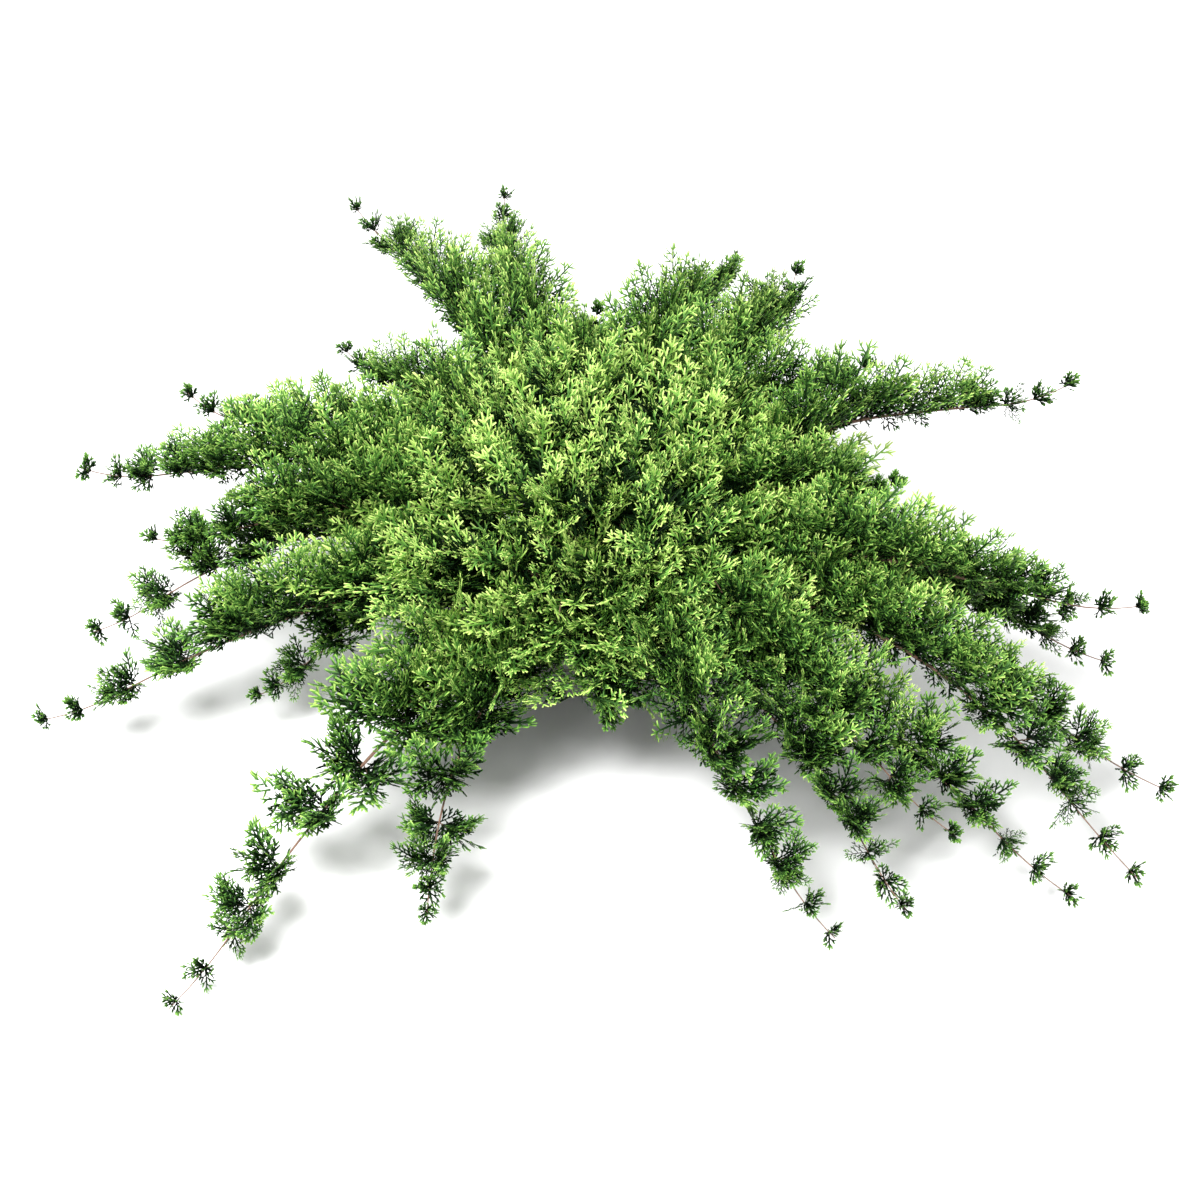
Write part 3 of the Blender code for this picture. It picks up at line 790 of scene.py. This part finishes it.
def size_along(s):
    """Size of laterals and sprays at the fraction s: full to half way, then less to the tip."""
    return 1 - (1 - TIP_SHARE) * (max(0.0, s - 0.5) / 0.5) ** 1.1


def parted(bough, s):
    """How far the boughs have parted at s: 0 in the heart of the plant, 1 where each is alone."""
    return min(1.0, max(0.0, (bough.reach * s - HEART_RADIUS) / (CLEAR_RADIUS - HEART_RADIUS)))


def between(low, high, share):
    return low + (high - low) * share


def around(bough, s, degrees):
    """Direction square to the bough: 0 is its right side, 90 above it and 180 its left side."""
    ahead = bough_ahead(bough, s)
    right = unit(np.cross(ahead, UP))
    above = np.cross(right, ahead)
    turn = math.radians(degrees)
    return right * math.cos(turn) + above * math.sin(turn)


def leaving(bough, s, turn, lean):
    """Direction that leaves the bough at lean degrees from it, on the side that turn names."""
    lean = math.radians(lean)
    return unit(bough_ahead(bough, s) * math.cos(lean) + around(bough, s, turn) * math.sin(lean))


def spray_face(ahead, towards, rng, spread):
    """Face of a spray that runs along ahead: as near towards as it can be, turned by up to spread."""
    across = unit(np.cross(ahead, towards) + 1e-6)
    above = np.cross(across, ahead)
    roll = math.radians(rng.uniform(-spread, spread))
    return above * math.cos(roll) + across * math.sin(roll)


class Growth:
    """Sprigs and twigs of one bough while it grows."""

    def __init__(self, rng):
        self.rng = rng
        self.sprigs = []
        self.twigs = []

    def spray(self, place, ahead, length, tone, towards=UP, spread=50, kind="long"):
        ahead = unit(ahead)
        face = spray_face(ahead, towards, self.rng, spread)
        if kind != "shade" and length < SHORT_BELOW:
            kind = "knot" if length < KNOT_BELOW else "short"
        self.sprigs.append(Sprig(place, ahead, face, length, tone, kind))

    def shade(self, place, ahead, length, tone=5):
        """Dark spray in painted shade: a coarse one in the heart of the plant, a small clear one
        further out.
        """
        if math.hypot(place[0], place[1]) < COARSE_RADIUS:
            self.spray(place, ahead, length, tone, UP, 80, "shade")
        else:
            self.spray(place, ahead, length * 0.75, tone, UP, 80, "short")

    def twig(self, points):
        self.twigs.append((points, np.linspace(LATERAL_RADIUS, LATERAL_RADIUS * 0.4, len(points))))

    def lateral(self, root, direction, length, spray, tone, towards, lift):
        """Short twig that bends up, with sprays on both sides in turn and one at its end."""
        rng = self.rng
        t = np.linspace(0, 1, 4)[:, None]
        points = root + direction * length * t + UP * (0.25 * length) * t**2
        self.twig(points)
        across = unit(np.cross(direction, towards))
        count = max(1, round(length / SPRAY_STEP))
        side = rng.choice((-1, 1))
        for k in range(count):
            t = (k + 0.5) / count
            place = root + (points[-1] - root) * t
            lean = math.radians(rng.uniform(30, 60))
            out = direction * math.cos(lean) + across * side * math.sin(lean)
            size = spray * rng.uniform(0.70, 1.05)
            # Painted shade: sprays on the inner half of a lateral get a step darker tone.
            step = tone + rng.choice((0, 0, 1)) + (1 if t < 0.5 else 0)
            self.spray(place, out + UP * rng.uniform(*lift), size, step, towards)
            side = -side
        # Painted light: the spray at the end, further out, is a step paler than the lateral's tone.
        out = direction + UP * (0.2 + rng.uniform(*lift) * 0.6)
        self.spray(points[-1], out, spray * rng.uniform(0.85, 1.18), tone - 1, towards)


# %% [markdown]
# A bough's foliage has four stretches. Close to the stool only dark sprays in painted shade stand on
# it, and they go on below the green ones as far as the tufts. Then come close laterals, longer in the
# heart of the plant, where they fill the dome. Then come the tufts: two fans of sprays on short twigs
# that rise right and left of the bough, black with painted shade at heart. Last come small dark knots
# with bare stem between them.

# %% Stretches of a bough
SHADED_FROM = 0.06
STOOL_EDGE = 0.26
SHADED_STEP = 0.011
DENSE_STEP = 0.0115
LIFT = (-0.1, 0.5)
DENSE_TURNS = (90, 22, 62, 155, 118, 42, 95, 138)
LIT_TOP_SHARE = 0.55
HEART_LATERAL = 0.062
OUTER_LATERAL = 0.034
TUFT_STEP = 0.120
TUFT_TWIG = 0.050
TUFT_SPRAYS = 9
TUFT_SPRAY = 0.125
HEART_SPRAYS = 4
HEART_SPRAY = 0.084
TUFTS_END = 0.80
KNOTS = ((0.865, 0.060), (0.925, 0.044), (0.985, 0.031))
KNOT_SPRAYS = 10


def shaded_part(bough, growth):
    """Dark sprays in painted shade along the bough from near the stool to the tufts; over the stool
    they hang too.
    """
    rng = growth.rng
    start = SHADED_FROM / bough.reach
    end = min(0.9, bough.tufts_from)
    count = round(bough_length(bough, start, end) / SHADED_STEP)
    bare_to = max(leafy_start(bough), bough.leafy_from)
    for i in range(count):
        s = between(start, end, i / count)
        turn = rng.uniform(-60, 240) if s * bough.reach < STOOL_EDGE else rng.uniform(-25, 205)
        way = leaving(bough, s, turn, rng.uniform(40, 80))
        growth.shade(bough_points(bough, s), way, 0.085 * size_along(s) * rng.uniform(0.8, 1.2))
        if s < bare_to:
            growth.spray(bough_points(bough, s), way + UP * 0.4, SPRAY_LENGTH * 0.8, 4)


def dense_part(bough, growth):
    """Close laterals above, right, above and left in turn."""
    rng = growth.rng
    start = max(leafy_start(bough), bough.leafy_from) - 0.02
    end = bough.tufts_from
    count = max(2, round(bough_length(bough, start, end) * bough.breadth / DENSE_STEP))
    for i in range(count):
        s = start + (end - start) * (i + rng.uniform(0.2, 0.8)) / count
        turn = DENSE_TURNS[i % len(DENSE_TURNS)] + rng.uniform(-16, 16)
        way = leaving(bough, s, turn, rng.uniform(36, 66))
        size = size_along(s)
        length = between(HEART_LATERAL, OUTER_LATERAL * bough.breadth**2, parted(bough, s))
        length *= size * rng.uniform(0.5, 1.2)
        # Painted light: many sprays on the top side of the bough get a step paler tone.
        bright = math.sin(math.radians(turn)) > 0.6 and rng.random() < LIT_TOP_SHARE
        tone = 3 if bright else 4
        towards = around(bough, s, turn - 90)
        growth.lateral(bough_points(bough, s), way, length, SPRAY_LENGTH * size, tone, towards, LIFT)


def tuft(bough, s, size, growth):
    """Short twigs that rise right and left of the bough, each with a fan of sprays, black with painted
    shade at heart.
    """
    rng = growth.rng
    root = bough_points(bough, s)
    for turn in (rng.uniform(8, 60), 180 - rng.uniform(8, 60)):
        way = leaving(bough, s, turn, rng.uniform(40, 66))
        reach = TUFT_TWIG * size * bough.breadth**2 * rng.uniform(0.4, 1.3)
        growth.twig(np.stack([root, root + way * reach * 0.5, root + way * reach]))
        across = unit(np.cross(way, around(bough, s, turn - 90)))
        count = round(TUFT_SPRAYS * bough.breadth) - rng.choice((0, 1, 1, 2))
        for k in range(count):
            lean = math.radians(between(-70, 64, (k + rng.uniform(0.1, 0.9)) / count))
            out = way * math.cos(lean) + across * math.sin(lean) + UP * rng.uniform(-0.1, 0.4)
            length = TUFT_SPRAY * size * rng.uniform(0.65, 1.15)
            start = root + way * reach * rng.uniform(0.0, 1.0)
            tone = 3 if rng.random() < 0.3 else 4
            growth.spray(start, out, length, tone, spread=45, kind="fan")
        # Heart sprays in the darkest tone, painted shade where the fans meet the bough.
        for k in range(HEART_SPRAYS):
            dark = unit(way + across * rng.uniform(-1.2, 1.2) + UP * rng.uniform(-0.3, 0.7))
            start = root + way * reach * k / HEART_SPRAYS
            growth.spray(start, dark, HEART_SPRAY * size, 6, spread=80, kind="short")


def tuft_places(bough, rng):
    """Fractions of the bough where its tufts sit, closer together towards the tip."""
    places = [bough.tufts_from]
    while places[-1] < TUFTS_END:
        size = size_along(places[-1])
        apart = TUFT_STEP * size * bough.breadth * rng.uniform(0.85, 1.20)
        places.append(places[-1] + apart / bough_length(bough, 0.0, 1.0))
    return places


def tuft_part(bough, growth):
    """Tufts apart from each other, with now and then one small spray on the stem between them."""
    rng = growth.rng
    places = tuft_places(bough, rng)
    for s in places:
        size = size_along(s)
        tuft(bough, s, size, growth)
        if rng.random() < 0.5:
            middle = s + 0.5 * TUFT_STEP * size
            way = leaving(bough, middle, rng.choice((20, 90, 160)), rng.uniform(30, 60))
            growth.spray(bough_points(bough, middle), way, 0.055 * size, 5)


def tip_part(bough, growth):
    """Small dark knots with bare stem between them, the last one at the very tip."""
    rng = growth.rng
    for s, size in KNOTS:
        if s < bough.tufts_from + 0.04:
            continue
        for k in range(KNOT_SPRAYS):
            turn = 360 * k / KNOT_SPRAYS + rng.uniform(-20, 20)
            way = leaving(bough, s, turn, rng.uniform(20, 75))
            length = size * rng.uniform(0.6, 1.2)
            growth.spray(bough_points(bough, s), way + UP * rng.uniform(0.1, 0.8), length, 4, spread=80)


# %% [markdown]
# ## The dome
# Over the stool the foliage closes to a dome, without a gap. The boughs alone leave it open, because
# they lie apart there and low. On a real juniper upright side shoots fill that room. Their ends are
# dealt out over the dome like seeds in a sunflower, evenly and without rows. Each shoot leaves the
# nearest stem that passes under its place and bends up to it. There it parts into short twigs, which
# deal their feathers over the shoot's own patch of the dome. Towards the rim the feathers lie flatter
# and lean outwards.

# %% Dome shoots
DOME_RADIUS = 0.54
DOME_SHOOTS = 80
DOME_TOP = 0.425
DOME_FALL = 0.105
DOME_TILT = 0.055
GOLDEN_ANGLE = 137.5
SHOOT_TWIGS = 9
PATCH_RADIUS = 0.080


def dome_place(i):
    """End of one shoot: evenly dealt over the dome, which is lower at its rim and at the front."""
    share = math.sqrt((i + 0.5) / DOME_SHOOTS)
    turn = math.radians(GOLDEN_ANGLE * i)
    x, y = math.cos(turn) * share, math.sin(turn) * share
    height = DOME_TOP - DOME_FALL * share**3 + DOME_TILT * y
    return np.array((x * DOME_RADIUS, y * DOME_RADIUS, height))


def carrier(place):
    """Stem, fraction and point that a shoot to this place leaves from."""
    best = None
    for bough in BOUGHS:
        s = np.linspace(0.08, 0.9, 42)
        points = bough_points(bough, s)
        apart = np.linalg.norm(points - place, axis=1)
        out = np.hypot(points[:, 0], points[:, 1])
        apart[(points[:, 2] > place[2] - 0.05) | (out > np.hypot(*place[:2]) + 0.02)] = 9.0
        k = int(apart.argmin())
        if best is None or apart[k] < best[0]:
            best = (apart[k], bough, s[k], points[k])
    return best[1:]


def dome_shoot(i, growth):
    """One side shoot from a stem up to the dome, whose twigs deal feathers over its patch."""
    rng = growth.rng
    place = dome_place(i) + np.array([rng.uniform(-0.03, 0.03) for axis in range(3)])
    bough, s, root = carrier(place)
    reach = np.linalg.norm(place - root)
    bend = root + bough_ahead(bough, s) * reach * 0.45
    t = np.linspace(0, 1, 9)[:, None]
    points = (1 - t) ** 2 * root + 2 * t * (1 - t) * bend + t**2 * place
    growth.twig(points)
    outward = unit(np.array((place[0], place[1], 0.10)))
    out_share = min(1.0, math.hypot(place[0], place[1]) / DOME_RADIUS)
    for k in range(SHOOT_TWIGS):
        share = math.sqrt((k + 0.5) / SHOOT_TWIGS)
        turn = math.radians(GOLDEN_ANGLE * k + 40 * i)
        flat = np.array((math.cos(turn), math.sin(turn), 0.0))
        start = points[rng.choice((3, 4, 5))]
        end = place + flat * share * PATCH_RADIUS
        end[2] += rng.uniform(-0.035, 0.012) - DOME_FALL * 0.3 * share * max(0.0, flat @ outward)
        middle = (start + end) / 2 + flat * 0.012
        growth.twig(np.stack([start, middle, end]))
        rise = between(rng.uniform(0.3, 0.9), rng.uniform(-0.1, 0.5), out_share)
        lean = flat * rng.uniform(0.3, 0.8) + outward * rng.uniform(0.3, 1.1) * (0.5 + out_share)
        way = unit(lean + UP * rise)
        aside = unit(np.cross(way, UP)) * rng.choice((-1, 1))
        # Pale tones for the end feathers, partly painted light on top of the dome; the lower feather is
        # a step darker as painted shade, and the dark sprays under it are painted shade too.
        tone = rng.choice((1, 1, 1, 2, 2))
        lower = between(middle, end, 0.6)
        towards = unit(outward * rng.uniform(0.2, 1.0) + UP * rng.uniform(0.2, 1.0))
        length = SPRAY_LENGTH * rng.uniform(0.85, 1.25)
        growth.spray(end, way + aside * rng.uniform(-0.3, 0.5), length, tone, towards, 35)
        length = SPRAY_LENGTH * rng.uniform(0.6, 1.0)
        growth.spray(lower, way + 0.9 * aside, length, tone + 1, towards, 50)
        growth.shade(lower, way - 0.6 * aside, 0.095)
        growth.shade(start, flat + UP * rng.uniform(-0.6, 0.2), 0.110)
        growth.shade(middle, way + flat * 0.5, 0.085)


# %% [markdown]
# ## One stem after the other
# What a stem grows is kept under the stem's name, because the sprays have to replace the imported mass
# of that same stem. The crown's stems carry dark sprays only. The shoots of the dome are added to the
# crown stem whose end is nearest, so that they belong to its part of the plant.

# %% Grow the plant
def grow(bough, rng):
    """Everything that grows on one bough or crown stem."""
    growth = Growth(rng)
    shaded_part(bough, growth)
    if bough in LIMBS:
        dense_part(bough, growth)
        tuft_part(bough, growth)
        tip_part(bough, growth)
    return growth


grow_rng = random.Random(SEED)
grown = {bough.name: grow(bough, grow_rng) for bough in BOUGHS}
for i in range(DOME_SHOOTS):
    place = dome_place(i)
    nearest = min(CROWN_STEMS, key=lambda bough: np.linalg.norm(bough_points(bough, 1.0) - place))
    dome_shoot(i, grown[nearest.name])
print("sprays:", sum(len(growth.sprigs) for growth in grown.values()))
print("laterals:", sum(len(growth.twigs) for growth in grown.values()))

# %% [markdown]
# ## Putting the sprays in place
# Each sprig names a kind of pattern, a place, a direction, a face, a length and a tone. Its points
# are one matrix product away from the pattern's, and all of a sector's sprigs are stacked into one
# mesh. A sprig that would rise more than a centimetre above the model's box, or reach the ground, is
# left out. The sectors keep each piece small enough for the export and name the part of the plant
# that it clothes.

# %% Foliage pieces
SECTORS = {
    "foliage_right": ("right_",),
    "foliage_front_right": ("front_right_",),
    "foliage_front": ("front_1", "front_2", "front_3", "front_4"),
    "foliage_left": ("front_left_", "left_"),
    "foliage_back": ("back_left_", "back_1", "back_2", "back_3"),
    "foliage_back_right": ("back_right_",),
    "foliage_crown_far": ("crown_1", "crown_2", "crown_3", "crown_4", "crown_9"),
    "foliage_crown_near": ("crown_5", "crown_6", "crown_7", "crown_8", "crown_10"),
}


def in_sector(name, starts):
    """Whether a bough belongs to a sector, given the names or beginnings of names in it."""
    return any(name == start or (start.endswith("_") and name.startswith(start)) for start in starts)


def placed_spray(sprig, patterns, rng):
    """Points, triangles and tones of one sprig."""
    points, faces, tones = rng.choice(patterns)
    ahead = unit(sprig.ahead)
    across = unit(np.cross(sprig.face, ahead))
    above = np.cross(ahead, across)
    turn = np.stack([ahead, across, above])
    return sprig.place + (points * sprig.length) @ turn, faces, tones + sprig.tone


def mesh_from_arrays(name, points, faces, materials):
    """Mesh from stacked points and triangles with a material number for each."""
    mesh = bpy.data.meshes.new(name)
    mesh.vertices.add(len(points))
    mesh.vertices.foreach_set("co", points.astype(np.float32).ravel())
    mesh.loops.add(faces.size)
    mesh.loops.foreach_set("vertex_index", faces.astype(np.int32).ravel())
    mesh.polygons.add(len(faces))
    mesh.polygons.foreach_set("loop_start", np.arange(0, faces.size, 3, dtype=np.int32))
    mesh.polygons.foreach_set("material_index", materials.astype(np.int32))
    mesh.polygons.foreach_set("use_smooth", np.ones(len(faces), dtype=bool))
    mesh.update(calc_edges=True)
    return mesh


def foliage_mesh(name, sprigs, rng):
    """Joins every sprig of a sector that stays inside the plant's own room."""
    points, faces, tones = [], [], []
    count = 0
    for sprig in sprigs:
        where, corners, tone = placed_spray(sprig, PATTERN_SETS[sprig.kind], rng)
        if where[:, 2].max() > HIGHEST or where[:, 2].min() < LOWEST:
            continue
        points.append(where)
        faces.append(corners + count)
        tones.append(tone)
        count += len(where)
    materials = np.clip(np.concatenate(tones), 0, len(TONES) - 1)
    return mesh_from_arrays(name, np.concatenate(points), np.concatenate(faces), materials)


place_rng = random.Random(SEED + 1)
triangles = 0
for sector, starts in SECTORS.items():
    names = [bough.name for bough in BOUGHS if in_sector(bough.name, starts)]
    sprigs = [sprig for name in names for sprig in grown[name].sprigs]
    mesh = foliage_mesh(sector, sprigs, place_rng)
    new_piece(sector, mesh, leaf_materials, ["foliage_" + name for name in names])
    triangles += len(mesh.polygons)
    print(sector, len(sprigs), "sprays", len(mesh.polygons), "triangles")
print("leaf triangles in all:", triangles)

# %% [markdown]
# ## Stems in the foliage
# The boughs go on through the foliage to their tips, and the laterals leave them there. The stems
# are made like the boughs. The laterals are thousands of thin threads, so they are stacked from
# arrays like the sprays, with three sides each.

# %% Leafy stems and laterals
STEM_SIDES = 6
STEM_SHARE = 0.7
THREAD_SIDES = 3
STEM_STEP = 0.030


def thread_arrays(points, radii):
    """Three-sided thread along points, closed to a point at its end."""
    ahead = np.gradient(points, axis=0)
    rings = []
    for point, radius, direction in zip(points[:-1], radii, ahead):
        side = unit(np.cross(direction, UP) + 1e-6)
        above = np.cross(side, unit(direction))
        for k in range(THREAD_SIDES):
            turn = math.tau * k / THREAD_SIDES
            rings.append(point + radius * (math.cos(turn) * side + math.sin(turn) * above))
    rings.append(points[-1])
    faces = []
    last = len(points) - 2
    for i in range(last):
        for k in range(THREAD_SIDES):
            a = i * THREAD_SIDES + k
            b = i * THREAD_SIDES + (k + 1) % THREAD_SIDES
            faces += [(a, b, b + THREAD_SIDES), (a, b + THREAD_SIDES, a + THREAD_SIDES)]
    for k in range(THREAD_SIDES):
        a = last * THREAD_SIDES + k
        b = last * THREAD_SIDES + (k + 1) % THREAD_SIDES
        faces.append((a, b, len(rings) - 1))
    return np.array(rings), np.array(faces)


def lateral_mesh():
    points, faces = [], []
    count = 0
    for growth in grown.values():
        for way, radii in growth.twigs:
            where, corners = thread_arrays(way, radii)
            if where[:, 2].max() > HIGHEST or where[:, 2].min() < LOWEST:
                continue
            points.append(where)
            faces.append(corners + count)
            count += len(where)
    faces = np.concatenate(faces)
    return mesh_from_arrays("laterals", np.concatenate(points), faces, np.zeros(len(faces)))


def stem_run(bough):
    """Stem inside the foliage, which thins quickly once the side shoots have left it."""
    points, radii = bough_run(bough, leafy_start(bough), 1.0, STEM_STEP)
    return points, radii * np.linspace(1.0, STEM_SHARE, len(radii))


stems_mesh = limb_mesh("leafy_stems", [stem_run(bough) for bough in BOUGHS], STEM_SIDES)
stems = new_piece("leafy_stems", stems_mesh, [young_bark], [])
laterals = new_piece("laterals", lateral_mesh(), [twig_material], [])
print("stems:", len(stems.data.polygons), "faces; laterals:", len(laterals.data.polygons), "faces")
